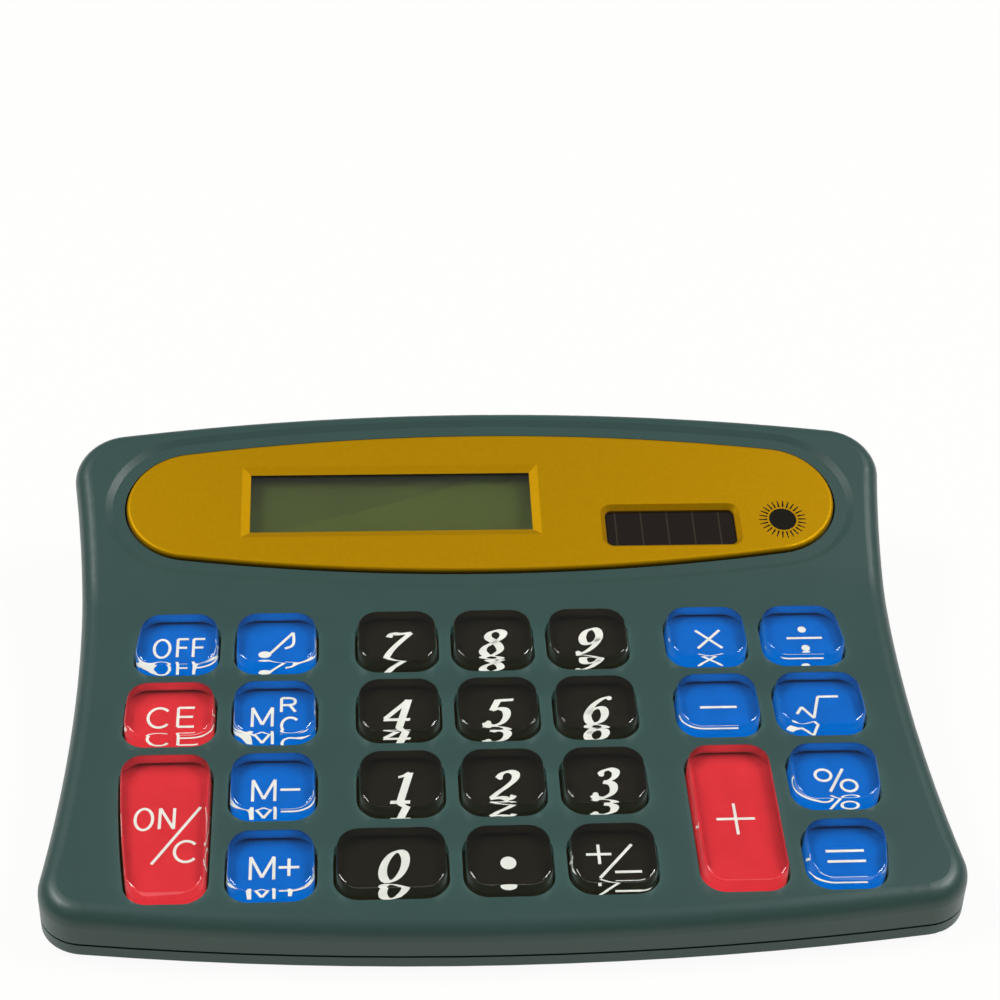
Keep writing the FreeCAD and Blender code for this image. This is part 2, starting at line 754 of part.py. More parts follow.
def main_board():
    """Board under the keypad with round corners and screw holes."""
    plate = prism(rounded_rectangle(-board_half_width, board_half_width, board_front_v, board_back_v,
                                    board_corner_radius, board_bottom), board_thickness)
    holes = [cylinder(board_screw_diameter + board_hole_clearance, x, v, board_bottom, board_top)
             for x, v in board_screw_places()]
    return placed(plate.cut(holes), deck_frame)


def rubber_keypad():
    """Silicone sheet with one hollow dome for each key contact and holes for the board bosses."""
    sheet = prism(rounded_rectangle(-web_half_width, web_half_width, web_front_v, web_back_v,
                                    web_corner_radius, board_top), web_thickness)
    domes, hollows = [], []
    for x, v in dome_places():
        axis = Vector(0, 0, 1)
        domes.append(Part.makeCone(dome_base_diameter / 2, dome_top_diameter / 2, dome_top - board_top,
                                   Vector(x, v, board_top), axis))
        hollows.append(Part.makeCone(dome_base_diameter / 2 - dome_wall, dome_top_diameter / 2 - dome_wall,
                                     pill_top - board_top, Vector(x, v, board_top), axis))
    for x, v in board_screw_places():
        hollows.append(cylinder(board_boss_diameter + 2 * cell_clearance, x, v, board_top, web_top))
    return placed(sheet.fuse(domes).cut(hollows), deck_frame)


def carbon_pills():
    return placed(Part.makeCompound([cylinder(pill_diameter, x, v, pill_bottom, pill_top)
                                     for x, v in dome_places()]), deck_frame)


def chip_blob():
    """Drop of resin over the chip on the underside of the board."""
    half = blob_diameter / 2
    rise = Vector(half, 0, 0)
    crown = Vector(0, 0, -blob_rise)
    radius = (half ** 2 + blob_rise ** 2) / (2 * blob_rise)
    turn = math.asin(half / radius) / 2
    middle = Vector(radius * math.sin(turn), 0, radius - blob_rise - radius * math.cos(turn))
    profile = Part.Wire([arc(rise, middle, crown), Part.makeLine(crown, Vector()), Part.makeLine(Vector(), rise)])
    drop = Part.Face(profile).revolve(Vector(), Vector(0, 0, 1), 360)
    drop.translate(Vector(blob_x, blob_v, board_bottom))
    return placed(Part.makeSolid(drop.Shells[0]), deck_frame)


def capacitors():
    cans = []
    for x in can_x:
        can = cylinder(can_diameter, x, can_v, board_bottom - can_height, board_bottom)
        low = [edge for edge in can.Edges if edge.BoundBox.ZMax < board_bottom - can_height + 1e-3]
        cans.append(can.makeFillet(can_edge_radius, low))
    return placed(Part.makeCompound(cans), deck_frame)


def resistors():
    """Small bodies lying on the underside of the board, thicker at both ends."""
    bodies = []
    drop = board_bottom - resistor_diameter / 2
    end = resistor_length / 4
    along = Vector(1, 0, 0)
    for x in resistor_x:
        start = Vector(x - resistor_length / 2, resistor_v, drop)
        tail = start + along * (resistor_length - end)
        body = Part.makeCylinder(resistor_waist / 2, resistor_length, start, along)
        ends = [Part.makeCylinder(resistor_diameter / 2, end, place, along) for place in (start, tail)]
        bodies.append(body.fuse(ends).removeSplitter())
    return placed(Part.makeCompound(bodies), deck_frame)


def smooth_path(points, radius):
    """Straight runs joined by tangent arcs, each no larger than its two runs allow."""
    edges = []
    here = points[0]
    for before, corner, after in zip(points, points[1:], points[2:]):
        into, out = corner - before, after - corner
        half_turn = into.getAngle(out) / 2
        most = 0.45 * min(into.Length, out.Length) / math.tan(half_turn)
        bend = most if radius is None else min(radius, most)
        tangent = bend * math.tan(half_turn)
        start = corner - unit(into) * tangent
        end = corner + unit(out) * tangent
        inward = unit(unit(out) - unit(into))
        middle = corner + inward * (bend / math.cos(half_turn) - bend)
        edges.append(Part.makeLine(here, start))
        edges.append(arc(start, middle, end))
        here = end
    edges.append(Part.makeLine(here, points[-1]))
    return Part.Wire(edges)


def wire_tube(points):
    """Round wire along a route of points."""
    path = smooth_path(points, None)
    first = points[1] - points[0]
    section = Part.Wire(Part.makeCircle(wire_diameter / 2, points[0], first))
    return path.makePipeShell([section], True, True)


def bent_strip(points, thickness, radius, width_way):
    """Thin strip bent along a route in one plane, as wide as width_way is long."""
    square = unit(width_way)
    path = smooth_path(points, radius)
    first = unit(points[1] - points[0])
    across = first.cross(square) * (thickness / 2)
    start = points[0] - width_way * 0.5
    section = Part.makePolygon([start - across, start + across, start + across + width_way,
                                start - across + width_way, start - across])
    return path.makePipeShell([section], True, True)


def on_display(t, w):
    return display_frame.multVec(Vector(0, t, w))


def on_deck(v, w):
    return deck_frame.multVec(Vector(0, v, w))


def display_ribbon():
    """Film bonded under the display's ledge, down to the back strip of the board."""
    half = ribbon_thickness / 2
    bond_w = dish_floor - lcd_glass - half
    start = on_display(lcd_front_t + lcd_ledge - 2 * half, bond_w)
    edge = on_display(lcd_front_t + lcd_ledge / 2, bond_w)
    land = on_deck(board_back_v, board_top + half)
    end = on_deck(board_back_v - ribbon_bond, board_top + half)
    drop = Vector(0, (edge.y + land.y) / 2, land.z + ribbon_bend_radius)
    shift = Vector(lcd_view_x, 0, 0)
    points = [point + shift for point in (start, edge, drop, land, end)]
    return bent_strip(points, ribbon_thickness, ribbon_bend_radius, Vector(ribbon_width, 0, 0))


def board_pad(x):
    """Where a wire is soldered under the back strip, and a point below it."""
    return [on_deck(pad_v, board_bottom - wire_rise) + Vector(x, 0, 0),
            on_deck(pad_v, board_bottom) + Vector(x, 0, 0)]


def solar_wires():
    routes = []
    for index, side in enumerate((-1, 1)):
        shift = Vector(solar_view_x + side * solar_wire_step, 0, 0)
        start = on_display(solar_view_t, dish_floor - solar_thickness) + shift
        below = on_display(solar_view_t, dish_floor - solar_thickness - wire_rise) + shift
        routes.append([start, below] + board_pad(first_pad_x + (index + 2) * pad_pitch))
    return Part.makeCompound([wire_tube(route) for route in routes])


def contact_tab_z():
    """Height of the contact tabs: just under the bay's roof."""
    return bay_roof - 2 * contact_bend_radius


def battery_wires():
    routes = []
    for side in (-1, 1):
        tab = Vector(side * (bay_half_length + bay_wall + contact_tab), battery_y, contact_tab_z())
        out = tab + Vector(side * wire_rise, 0, 0)
        corner = Vector(out.x, bay_front, battery_z)
        routes.append([tab, out, corner] + board_pad(side * first_pad_x))
    return Part.makeCompound([wire_tube(route) for route in routes])


def buzzer_wires():
    top = floor_top + buzzer_seat + buzzer_plate + ceramic_thickness
    routes = []
    for index, side in enumerate((-1, 1)):
        start = Vector(buzzer_x + side * buzzer_wire_step, buzzer_y, top)
        above = start + Vector(0, 0, wire_rise)
        routes.append([start, above] + board_pad(first_pad_x + (index + 4) * pad_pitch))
    return Part.makeCompound([wire_tube(route) for route in routes])


def piezo_buzzer():
    """Brass disc with a smaller ceramic disc on top."""
    seat = floor_top + buzzer_seat
    plate_top = seat + buzzer_plate
    plate = cylinder(buzzer_diameter, buzzer_x, buzzer_y, seat, plate_top)
    return plate.fuse(cylinder(ceramic_diameter, buzzer_x, buzzer_y, plate_top, plate_top + ceramic_thickness))


def battery_cell():
    """Cylinder along X with a raised nub at the right end."""
    along = Vector(1, 0, 0)
    start = Vector(-battery_length / 2, battery_y, battery_z)
    can = Part.makeCylinder(battery_diameter / 2, battery_length - nub_length, start, along)
    rims = [edge for edge in can.Edges if isinstance(edge.Curve, Part.Circle)]
    can = can.makeFillet(can_edge_radius, rims)
    nub_start = start + along * (battery_length - nub_length - can_edge_radius)
    nub = Part.makeCylinder(nub_diameter / 2, nub_length + can_edge_radius, nub_start, along)
    return can.fuse(nub)


def battery_contacts():
    """Leaf contact at each end of the bay: a tab out through the wall, a back and a sprung leaf."""
    half = contact_thickness / 2
    back = bay_half_length - half - fit_clearance
    leaf = battery_length / 2 + half + fit_clearance
    foot = door_top + 2 * contact_bend_radius
    tab_z = contact_tab_z()
    tab_x = bay_half_length + bay_wall + contact_tab
    strips = []
    for side in (-1, 1):
        points = [Vector(side * x, battery_y, z) for x, z in (
            (tab_x, tab_z), (back, tab_z), (back, foot), ((back + leaf) / 2, foot),
            (leaf, battery_z), ((back + leaf) / 2, battery_z + nub_diameter / 2))]
        strips.append(bent_strip(points, contact_thickness, contact_bend_radius, Vector(0, contact_width, 0)))
    return Part.makeCompound(strips)


def battery_door():
    """Sliding cover: plate flush with the tray, flanges on the rails, grip grooves below."""
    half = bay_half_length - door_clearance
    front = bay_front + door_clearance
    plate = tray_body().common(box(-half, half, front, case_depth, 0, seam_height))
    inner = case_outline(lip_outer, door_top)
    hollow = prism(inner, seam_height).common(box(-half, half, front, case_depth, door_top, seam_height))
    wide = bay_half_length + door_flange_reach
    flange = prism(case_outline(lip_outer, door_flange_bottom), door_flange_thickness).common(
        box(-wide, wide, front, case_depth, door_flange_bottom, door_top))
    grooves = []
    for index in range(grip_count):
        y = battery_y + (index - (grip_count - 1) / 2) * grip_pitch
        grooves.append(box(-grip_length / 2, grip_length / 2, y - grip_width / 2, y + grip_width / 2,
                           0, floor_bottom + grip_depth))
    return plate.cut(hollow).fuse(flange).cut(grooves).removeSplitter()


def screw(diameter, length, head_diameter, head_thickness):
    """Screw pointing up from its seat at the origin, with a domed head below."""
    head = Part.makeCylinder(head_diameter / 2, head_thickness, Vector(0, 0, -head_thickness))
    low = [edge for edge in head.Edges if edge.BoundBox.ZMax < 1e-3 - head_thickness]
    head = head.makeFillet(head_thickness / 2, low)
    return head.fuse(Part.makeCylinder(diameter / 2, length))


def case_screws():
    screws = []
    for x, y, post_top in both_sides(case_screw_places):
        piece = screw(case_screw_diameter, case_screw_length, case_head_diameter, case_head_thickness)
        piece.translate(Vector(x, y, post_top - case_screw_seat))
        screws.append(piece)
    return Part.makeCompound(screws)


def board_screws():
    screws = []
    for x, v in board_screw_places():
        piece = screw(board_screw_diameter, board_screw_length, board_head_diameter, board_head_thickness)
        piece.translate(Vector(x, v, board_bottom))
        screws.append(piece)
    return placed(Part.makeCompound(screws), deck_frame)


def rubber_feet():
    feet = []
    for x, y in both_sides(foot_places):
        foot = cylinder(foot_diameter, x, y, 0, floor_bottom + foot_pocket)
        low = [edge for edge in foot.Edges if edge.BoundBox.ZMax < 1e-3]
        feet.append(foot.makeFillet(foot_edge_radius, low))
    return Part.makeCompound(feet)


pieces = {
    "upper_case": upper_case, "lower_case": lower_case, "display_panel": display_panel,
    "display_window": display_window, "lcd_cell": lcd_cell, "display_ribbon": display_ribbon,
    "solar_cell": solar_cell, "main_board": main_board, "rubber_keypad": rubber_keypad,
    "carbon_pills": carbon_pills, "chip_blob": chip_blob, "capacitors": capacitors,
    "resistors": resistors, "piezo_buzzer": piezo_buzzer, "solar_wires": solar_wires,
    "battery_wires": battery_wires, "buzzer_wires": buzzer_wires, "battery_cell": battery_cell,
    "battery_contacts": battery_contacts, "battery_door": battery_door, "case_screws": case_screws,
    "board_screws": board_screws, "rubber_feet": rubber_feet,
}

os.makedirs("parts", exist_ok=True)
for node, make in pieces.items():
    make().exportStep("parts/" + node + ".step")
for node in key_names:
    key_cap(node).exportStep("parts/" + node + ".step")
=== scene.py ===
import math
import bpy
from mathutils import Matrix, Vector


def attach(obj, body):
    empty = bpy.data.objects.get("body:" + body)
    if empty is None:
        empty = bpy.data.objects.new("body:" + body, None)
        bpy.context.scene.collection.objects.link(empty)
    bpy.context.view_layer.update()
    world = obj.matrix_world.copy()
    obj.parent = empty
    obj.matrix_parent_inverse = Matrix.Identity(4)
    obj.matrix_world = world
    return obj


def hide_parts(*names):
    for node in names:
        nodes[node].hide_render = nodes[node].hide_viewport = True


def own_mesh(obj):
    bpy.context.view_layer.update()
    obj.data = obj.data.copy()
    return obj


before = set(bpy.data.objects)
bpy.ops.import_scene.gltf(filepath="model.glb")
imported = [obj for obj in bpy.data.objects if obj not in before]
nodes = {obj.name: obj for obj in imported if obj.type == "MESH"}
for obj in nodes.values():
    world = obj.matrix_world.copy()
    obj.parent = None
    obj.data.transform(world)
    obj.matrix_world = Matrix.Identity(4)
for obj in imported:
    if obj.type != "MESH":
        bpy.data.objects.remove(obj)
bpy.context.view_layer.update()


def linear(colour):
    """An sRGB hex value as linear RGBA."""
    channels = []
    for start in (0, 2, 4):
        value = int(colour[start:start + 2], 16) / 255
        channels.append(value / 12.92 if value <= 0.04045 else ((value + 0.055) / 1.055) ** 2.4)
    return (*channels, 1.0)


def add(tree, kind, values={}, links={}, **settings):
    """A shader node with its settings, socket values and links."""
    node = tree.nodes.new(kind)
    for name, setting in settings.items():
        setattr(node, name, setting)
    for socket, value in values.items():
        node.inputs[socket].default_value = value
    for socket, source in links.items():
        tree.links.new(source, node.inputs[socket])
    return node


def new_material(name, colour, values={}):
    """A material of one principled shader; returns it with its tree and shader."""
    material = bpy.data.materials.new(name)
    material.use_nodes = True
    tree = material.node_tree
    shader = tree.nodes["Principled BSDF"]
    shader.inputs["Base Color"].default_value = linear(colour)
    for socket, value in values.items():
        shader.inputs[socket].default_value = value
    return material, tree, shader


def drift(tree, shader, tones, patch):
    """Base colour that drifts between two tones over patches of that many millimetres."""
    place = add(tree, "ShaderNodeTexCoord")
    noise = add(tree, "ShaderNodeTexNoise", {"Scale": 1000 / patch, "Detail": 3.0},
                {"Vector": place.outputs["Object"]})
    blend = add(tree, "ShaderNodeMix", {6: linear(tones[0]), 7: linear(tones[1])},
                {0: noise.outputs[0]}, data_type="RGBA")
    tree.links.new(blend.outputs[2], shader.inputs["Base Color"])


def grain(tree, shader, size, depth):
    """Fine relief with grains of that many millimetres across and deep."""
    place = add(tree, "ShaderNodeTexCoord")
    noise = add(tree, "ShaderNodeTexNoise", {"Scale": 1000 / size, "Detail": 1.0},
                {"Vector": place.outputs["Object"]})
    bump = add(tree, "ShaderNodeBump", {"Strength": 1.0, "Distance": depth / 1000},
               {"Height": noise.outputs[0]})
    tree.links.new(bump.outputs["Normal"], shader.inputs["Normal"])


def dress(name, material):
    """Gives a piece of the frame its material."""
    nodes[name].data.materials.clear()
    nodes[name].data.materials.append(material)


# Satin ABS: even colour, a broad soft sheen. The 0.1 mm grain is drawn at 0.5 mm so that it shows.
moulded_abs, tree, shader = new_material("moulded_abs_satin", "35504C", {
    "Roughness": 0.38, "IOR": 1.53, "Specular IOR Level": 0.4})
drift(tree, shader, ("334D49", "37534F"), 14.0)
grain(tree, shader, 0.5, 0.012)
dress("lower_case", moulded_abs)

# Battery door: a plate with two side flanges that slides back out of the tray, four grip grooves.
# The same ABS as the case, moulded on its own.
dress("battery_door", moulded_abs)

# Battery and its leaf contacts: one AA cell in a plain shrink sleeve, between bent leaves.
# The leaves are nickel-plated spring steel, stamped, bent and pushed into slots of the bay.
band_start = 14.5
cell_sleeve, tree, shader = new_material("shrink_sleeve_gloss", "2E3238", {"Roughness": 0.28})
place = add(tree, "ShaderNodeTexCoord")
along = add(tree, "ShaderNodeSeparateXYZ", links={"Vector": place.outputs["Object"]})
band = add(tree, "ShaderNodeMath", {1: band_start / 1000}, {0: along.outputs["X"]},
           operation="GREATER_THAN")
sleeve = add(tree, "ShaderNodeMix", {6: linear("2E3238"), 7: linear("B48A4A")}, {0: band.outputs[0]},
             data_type="RGBA")
tree.links.new(sleeve.outputs[2], shader.inputs["Base Color"])
dress("battery_cell", cell_sleeve)
nickel_steel, tree, shader = new_material("nickel_plated_steel", "B9BCBE", {
    "Metallic": 1.0, "Roughness": 0.3})
drift(tree, shader, ("AEB2B5", "C4C7C8"), 3.0)
dress("battery_contacts", nickel_steel)

# Buzzer: a brass disc with a silvered ceramic on it, glued into the ring on the floor.
# Rolled brass, slightly tarnished.
rolled_brass, tree, shader = new_material("rolled_brass", "C9A64B", {"Metallic": 1.0, "Roughness": 0.32})
drift(tree, shader, ("C09A40", "D2B260"), 4.0)
dress("piezo_buzzer", rolled_brass)

# Main board: paper laminate with green solder mask, with the chip under a drop of resin,
# two small cans and three lacquered resistors on its underside.
solder_mask, tree, shader = new_material("laminate_green_mask", "2A6A3C", {"Roughness": 0.3})
drift(tree, shader, ("25603A", "317548"), 5.0)
dress("main_board", solder_mask)
potting_resin, tree, shader = new_material("potting_resin", "15151A", {"Roughness": 0.22})
drift(tree, shader, ("131316", "1C1C20"), 2.0)
dress("chip_blob", potting_resin)
can_sleeve, tree, shader = new_material("can_shrink_sleeve", "1E2A4A", {"Roughness": 0.3})
drift(tree, shader, ("1A2542", "243156"), 3.0)
dress("capacitors", can_sleeve)
resistor_lacquer, tree, shader = new_material("resistor_lacquer", "C8A878", {"Roughness": 0.35})
drift(tree, shader, ("BE9C6A", "D0B286"), 1.5)
dress("resistors", resistor_lacquer)

# Wires and ribbon: stranded wire in red PVC, soldered at both ends, and an amber film with
# printed carbon tracks, bonded to the display by heat.
red_pvc, tree, shader = new_material("wire_pvc", "9C1C1C", {"Roughness": 0.4})
drift(tree, shader, ("941818", "A82222"), 6.0)
for name in ("solar_wires", "battery_wires", "buzzer_wires"):
    dress(name, red_pvc)
film_tracks, tree, shader = new_material("amber_film_tracks", "B08A3C", {"Roughness": 0.25})
place = add(tree, "ShaderNodeTexCoord")
# The wave repeats every 2 pi / 20 of its scale. The bands are 10 mm apart, coarser than real tracks.
track_band = 3.2 * math.pi
tracks = add(tree, "ShaderNodeTexWave", {"Scale": 2 * math.pi * 1000 / 20 / track_band},
             {"Vector": place.outputs["Object"]}, bands_direction="X")
ink = add(tree, "ShaderNodeMix", {6: linear("B08A3C"), 7: linear("2A2622")}, {0: tracks.outputs[0]},
          data_type="RGBA")
tree.links.new(ink.outputs[2], shader.inputs["Base Color"])
dress("display_ribbon", film_tracks)

# Keypad: one silicone sheet with a hollow dome under every key contact and a carbon pill inside
# each dome. Compression-moulded; it lies on the board, and the bosses of the upper case go through it.
deck_origin, deck_tilt = (0, 0.00290129, 0.01796823), 6.0
deck = Matrix.Translation(deck_origin) @ Matrix.Rotation(math.radians(deck_tilt), 4, "X")
digit_pitch, block_pitch, outer_pitch, row_pitch = 19.0, 42.8, 62.3, 18.62
column_x = (-outer_pitch, -block_pitch, -digit_pitch, 0.0, digit_pitch, block_pitch, outer_pitch)
key_rows = (
    ("key_off", "key_sound", "key_7", "key_8", "key_9", "key_times", "key_divide"),
    ("key_clear_entry", "key_memory_recall", "key_4", "key_5", "key_6", "key_minus", "key_root"),
    ("key_on_clear", "key_memory_minus", "key_1", "key_2", "key_3", "key_plus", "key_percent"),
    ("key_on_clear", "key_memory_plus", "key_0", "key_point", "key_sign", "key_plus", "key_equals"))
board_top, web_top, dome_top, pill_top = -5.9, -5.1, -3.1, -4.0
dome_foot, dome_neck, dome_brow, dome_crown, axis_radius = 4.8, 3.9, 3.7, 3.5, 0.01
neck_drop, brow_drop, foot_lift, hollow_top, hollow_foot = 0.5, 0.12, 0.05, 2.6, 3.9
pill_radius, pill_thickness, dome_steps = 2.1, 0.4, 24


def make_piece(name, points, faces, materials, indices=None, smooth=True, frame_of=None):
    """A mesh piece from points in millimetres, moved by a frame into the calculator's axes."""
    mesh = bpy.data.meshes.new(name)
    mesh.from_pydata([Vector(point) * 0.001 for point in points], [], faces)
    for material in materials:
        mesh.materials.append(material)
    for polygon in mesh.polygons:
        polygon.use_smooth = smooth
    if indices:
        mesh.polygons.foreach_set("material_index", indices)
    piece = bpy.data.objects.new(name, mesh)
    bpy.context.collection.objects.link(piece)
    if frame_of:
        mesh.transform(frame_of)
    mesh.validate()
    return piece


def lathe(profile, x, y, steps):
    """Points and faces of a turned form about an upright axis at x, y."""
    points, faces = [], []
    for radius, z in profile:
        for step in range(steps):
            angle = 2 * math.pi * step / steps
            points.append((x + radius * math.cos(angle), y + radius * math.sin(angle), z))
    for ring in range(len(profile) - 1):
        for step in range(steps):
            a, b = ring * steps + step, ring * steps + (step + 1) % steps
            faces.append((a, b, b + steps, a + steps))
    return points, faces


# Silicone: matt, pale grey, a little cloudy. The pills are carbon-filled and black.
silicone, tree, shader = new_material("moulded_silicone", "B4B8B6", {
    "Roughness": 0.6, "Subsurface Weight": 0.1})
drift(tree, shader, ("AEB2B0", "BCC0BE"), 8.0)
carbon_rubber, tree, shader = new_material("carbon_rubber", "1A1A1A", {"Roughness": 0.7})
drift(tree, shader, ("161616", "202020"), 1.0)
dress("rubber_keypad", silicone)
dress("carbon_pills", carbon_rubber)
for row, names in enumerate(key_rows):
    for column, name in enumerate(names):
        x, v = column_x[column], -row * row_pitch
        outside = [(dome_foot, web_top), (dome_neck, dome_top - neck_drop),
                   (dome_brow, dome_top - brow_drop), (dome_crown, dome_top), (axis_radius, dome_top)]
        inside = [(axis_radius, pill_top), (hollow_top, pill_top), (hollow_foot, board_top + foot_lift)]
        shell, walls = lathe(outside + inside + [outside[0]], x, v, dome_steps)
        pill_bottom = pill_top - pill_thickness
        pill, pill_walls = lathe([(axis_radius, pill_top), (pill_radius, pill_top),
                                  (pill_radius, pill_bottom), (axis_radius, pill_bottom)], x, v, dome_steps)
        shift = len(shell)
        faces = walls + [tuple(index + shift for index in face) for face in pill_walls]
        indices = [0] * len(walls) + [1] * len(pill_walls)
        dome = make_piece("dome_%d_%d" % (row, column), shell + pill, faces, (silicone, carbon_rubber),
                          indices, frame_of=deck)
        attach(dome, "case")
        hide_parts("carbon_pills")
        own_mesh(dome)

# Keypad sheet: the flat part between the domes, without the holes for the bosses, which the case hides.
# Part of the same silicone moulding, drawn as its own thin sheet apart from the domes.
web_x, web_front, web_back, web_corner, web_steps = 68.9, -62.46, 6.6, 5.0, 6
sheet_points = []
for level in (board_top, web_top):
    for sx, sy, turn in ((1, 1, 0), (-1, 1, 1), (-1, -1, 2), (1, -1, 3)):
        centre_y = web_back - web_corner if sy > 0 else web_front + web_corner
        for step in range(web_steps + 1):
            angle = math.radians(90 * turn + 90 / web_steps * step)
            sheet_points.append((sx * (web_x - web_corner) + web_corner * math.cos(angle),
                                 centre_y + web_corner * math.sin(angle), level))
count = len(sheet_points) // 2
sheet_faces = [tuple(range(count, 2 * count)), tuple(reversed(range(count)))]
for index in range(count):
    after = (index + 1) % count
    sheet_faces.append((index, after, after + count, index + count))
web = make_piece("keypad_sheet", sheet_points, sheet_faces, (silicone,), smooth=False, frame_of=deck)
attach(web, "case")
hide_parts("rubber_keypad")

# Keys: cast clear acrylic with a flange that the upper case holds down. The legend and then the
# ground colour are screen-printed on the underside, so both show through the depth of the key.
key_width, key_height, zero_extra = 15.7, 14.1, 4.3
outer_inner_side, barrel_reach, barrel_radius, barrel_middle = 54.3, 71.3, 230.0, -24.0
key_corner, key_rise, key_skirt = 4.2, 2.9, 0.4
flange_top, flange_bottom, flange_reach = -2.15, -3.05, 1.3
print_inset, side_draft, top_round = -0.7, 5.0, 0.55
outer_columns = (0, 6)
corner_steps, barrel_steps, round_steps = 10, 8, 8
# A ring close to each crease keeps the shading beside it flat.
crease_step, skirt_ease, top_ring = 0.1, 0.02, 0.12


def key_places(name):
    """Column, first row and last row of a key."""
    found = [(names.index(name), row) for row, names in enumerate(key_rows) if name in names]
    return found[0][0], found[0][1], found[-1][1]


def key_ring(name, inset, w):
    """Outline of a key in the deck plane, moved inward by inset, at height w."""
    column, first, last = key_places(name)
    back = -first * row_pitch + key_height / 2 - key_corner
    front = -last * row_pitch - key_height / 2 + key_corner
    radius = key_corner - inset
    hub = barrel_reach - barrel_radius
    outer = column in outer_columns
    sign = -1 if column == 0 else 1
    if outer:
        inner_x = outer_inner_side + key_corner
    else:
        inner_x = column_x[column] - key_width / 2 + key_corner - (zero_extra if name == "key_0" else 0)
    corners = []
    for v in (back, front):
        if outer:
            x = hub + math.sqrt((barrel_radius - key_corner) ** 2 - (v - barrel_middle) ** 2)
            corners.append((x, v, math.atan2(v - barrel_middle, x - hub)))
        else:
            corners.append((column_x[column] + key_width / 2 - key_corner, v, 0.0))
    (back_x, back_v, back_angle), (front_x, front_v, front_angle) = corners
    points = []

    def turn(x, v, start, end):
        """Points of a rounded corner about x, v."""
        for step in range(corner_steps + 1):
            angle = start + (end - start) * step / corner_steps
            points.append((x + radius * math.cos(angle), v + radius * math.sin(angle)))

    turn(back_x, back_v, math.pi / 2, back_angle)
    if outer:
        for step in range(1, barrel_steps):
            angle = back_angle + (front_angle - back_angle) * step / barrel_steps
            points.append((hub + (barrel_radius - inset) * math.cos(angle),
                           barrel_middle + (barrel_radius - inset) * math.sin(angle)))
    turn(front_x, front_v, front_angle, -math.pi / 2)
    turn(inner_x, front_v, -math.pi / 2, -math.pi)
    turn(inner_x, back_v, math.pi, math.pi / 2)
    return [(sign * x, v, w) for x, v in points]


def key_profile():
    """Inset and height from the flange up the shank, the drafted side and the rounded edge to the top."""
    lean = math.radians(side_draft)
    crest = (key_rise - key_skirt) * math.tan(lean)
    tangent = top_round / math.tan(math.radians(90 + side_draft) / 2)
    centre = crest + tangent, key_rise - top_round
    profile = [(print_inset, flange_bottom), (-flange_reach, flange_bottom), (-flange_reach, flange_top),
               (0.0, flange_top), (0.0, flange_top + crease_step), (0.0, key_skirt - crease_step),
               (skirt_ease, key_skirt + crease_step)]
    for step in range(round_steps + 1):
        angle = lean + (math.pi / 2 - lean) * step / round_steps
        profile.append((centre[0] - top_round * math.cos(angle), centre[1] + top_round * math.sin(angle)))
    profile.append((centre[0] + top_ring, key_rise))
    return profile


def key_mesh(name, ink):
    """Clear key on a black flange, painted shade of the gap round the key; its underside carries the
    printed ground colour.
    """
    points, faces = [], []
    rings = [key_ring(name, inset, w) for inset, w in key_profile()]
    size = len(rings[0])
    for ring in rings:
        points += ring
    for level in range(len(rings) - 1):
        for index in range(size):
            a, b = level * size + index, level * size + (index + 1) % size
            faces.append((b, a, a + size, b + size))
    faces.append(tuple(reversed(range(len(points) - size, len(points)))))
    faces.append(tuple(range(size)))
    if key_places(name)[0] == 0:
        faces = [tuple(reversed(face)) for face in faces]
    flange_faces = 3 * size
    # The flange takes the black ink as painted shade of the gap round the key.
    indices = [2] * flange_faces + [0] * (len(faces) - 1 - flange_faces) + [1]
    piece = make_piece(name + "_cap", points, faces, (clear_acrylic, ink, inks["black"]), indices,
                       frame_of=deck)
    for index, polygon in enumerate(piece.data.polygons):
        polygon.use_smooth = flange_faces <= index < len(faces) - 1
    return piece


def let_lamps_through(tree, shader):
    """Clear plastic that casts no shadow, so that the lamps light what lies under it."""
    path = add(tree, "ShaderNodeLightPath")
    open_way = add(tree, "ShaderNodeBsdfTransparent")
    both = add(tree, "ShaderNodeMixShader", links={
        0: path.outputs["Is Shadow Ray"], 1: shader.outputs[0], 2: open_way.outputs[0]})
    tree.links.new(both.outputs[0], tree.nodes["Material Output"].inputs["Surface"])


# Clear acrylic: water-clear, with a glossy hard coat. Screen inks: flat colour, seen through the acrylic.
clear_acrylic, tree, shader = new_material("cast_acrylic_clear", "F6F8F6", {
    "Roughness": 0.0, "IOR": 1.49, "Transmission Weight": 1.0, "Coat Weight": 0.4, "Coat IOR": 1.6})
let_lamps_through(tree, shader)
inks = {}
for colour_name, colour, tones, patch in (
        ("black", "18160E", ("16140B", "1C1A11"), 4.0), ("blue", "005AB0", ("0056A8", "015EB8"), 4.0),
        ("red", "C42A31", ("BE262D", "CA2E36"), 4.0), ("white", "D4D4CC", ("CFCFC7", "DADAD2"), 2.0)):
    inks[colour_name], tree, shader = new_material("screen_ink_" + colour_name, colour, {
        "Roughness": 0.6, "Specular IOR Level": 0.0})
    drift(tree, shader, tones, patch)
red_keys = ("key_on_clear", "key_clear_entry", "key_plus")
black_keys = tuple("key_%d" % digit for digit in range(10)) + ("key_point", "key_sign")

# Legends: one coat of white screen ink under each key, laid before the ground colour.
# Digits are slanted with thick and thin strokes, words and signs have an even thin stroke.
ellipse_steps = 24


def ellipse(x, y, half_width, half_height, start=90, end=450):
    """Points along an ellipse from one angle to another, in degrees."""
    turn = (end - start) / ellipse_steps
    angles = [math.radians(start + turn * step) for step in range(ellipse_steps + 1)]
    return [(x + half_width * math.cos(angle), y + half_height * math.sin(angle)) for angle in angles]


